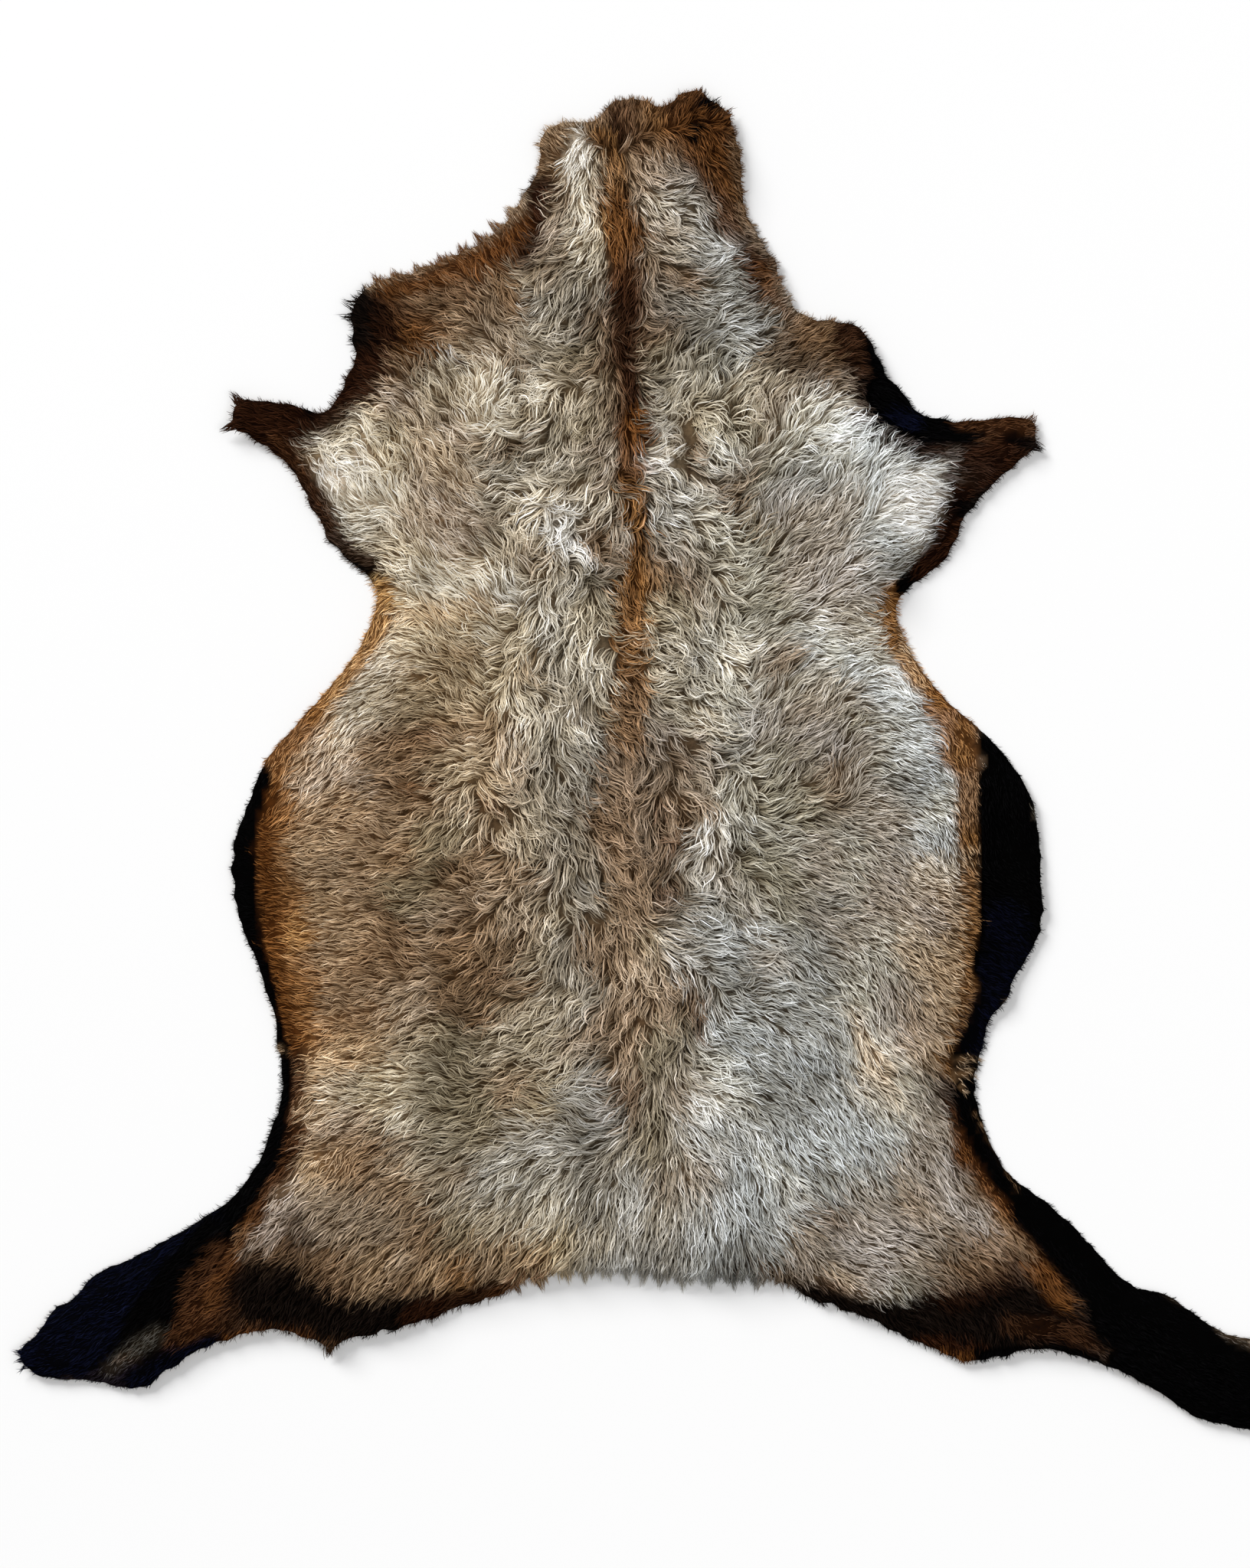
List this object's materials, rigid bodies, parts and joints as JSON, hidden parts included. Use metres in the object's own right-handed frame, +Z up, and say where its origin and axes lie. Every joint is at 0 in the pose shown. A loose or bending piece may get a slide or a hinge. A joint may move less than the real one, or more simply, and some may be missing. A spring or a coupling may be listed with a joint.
{
  "type": "sheepskin",
  "caption": "Whole sheepskin with neck and legs, lying flat on its skin side, its wool up in long lumps and locks at the rim; a rug or a throw for a seat.",
  "frame": {"origin": "on the floor, under the middle of the hide's box", "axes": "+Z up, out of the wool; +Y along the back towards the neck; +X to the right, seen from above with the neck away from the viewer"},
  "size_m": [1.0418, 1.1118, 0.0264],
  "materials": {
    "wool": "matt",
    "hide_leather": "suede"
  },
  "bodies": {
    "root": {"sheepskin": "wool"}
  },
  "joints": []
}
